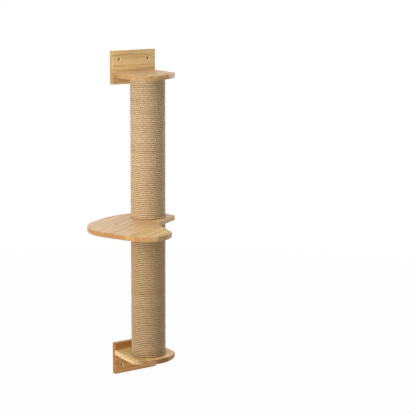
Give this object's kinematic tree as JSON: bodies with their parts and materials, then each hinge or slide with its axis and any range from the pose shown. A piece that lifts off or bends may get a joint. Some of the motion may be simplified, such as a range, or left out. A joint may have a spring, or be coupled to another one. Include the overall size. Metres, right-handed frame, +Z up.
{
  "type": "wall mounted cat tree",
  "caption": "Wall mounted cat tree: rope-wound scratching posts in line between wall brackets with small end shelves, and a leaf-shaped middle shelf that swivels.",
  "frame": {"origin": "middle of the upper wall plate's back face, on the wall's plane", "axes": "+Z up along the posts, +X to the right along the wall, +Y into the wall, so the front faces -Y"},
  "size_m": [0.3108, 0.3436, 1],
  "materials": {
    "pine_board": "sanded and clear oiled",
    "sisal": "natural twisted sisal",
    "kraft_board": "wound kraft board, matt",
    "plug_board": "pressed fibre board, matt",
    "beech": "fluted beech",
    "zinc_steel": "zinc plated",
    "black_steel": "black oxide"
  },
  "bodies": {
    "wall_frame": {"upper_wall_plate": "pine_board", "upper_shelf": "pine_board", "upper_post_bolt": "black_steel", "upper_post_washer": "zinc_steel", "upper_bracket_screw_1": "zinc_steel", "upper_bracket_screw_2": "zinc_steel", "upper_bracket_dowel_1": "beech", "upper_bracket_dowel_2": "beech", "upper_post_tube": "kraft_board", "upper_post_bottom_plug": "plug_board", "upper_post_top_plug": "plug_board", "upper_post_bottom_insert": "zinc_steel", "upper_post_top_insert": "zinc_steel", "upper_post_rope": "sisal", "middle_stud": "zinc_steel", "lower_post_tube": "kraft_board", "lower_post_bottom_plug": "plug_board", "lower_post_top_plug": "plug_board", "lower_post_bottom_insert": "zinc_steel", "lower_post_top_insert": "zinc_steel", "lower_post_rope": "sisal", "lower_wall_plate": "pine_board", "lower_shelf": "pine_board", "lower_post_bolt": "black_steel", "lower_post_washer": "zinc_steel", "lower_bracket_screw_1": "zinc_steel", "lower_bracket_screw_2": "zinc_steel", "lower_bracket_dowel_1": "beech", "lower_bracket_dowel_2": "beech"},
    "swivel_shelf": {"middle_shelf": "pine_board"}
  },
  "joints": [
    {"name": "middle_shelf_swivel", "type": "hinge", "parent": "wall_frame", "child": "swivel_shelf", "pos_m": [0, -0.092, -0.45], "axis": [0, 0, 1], "range_deg": [-20, 125]}
  ]
}
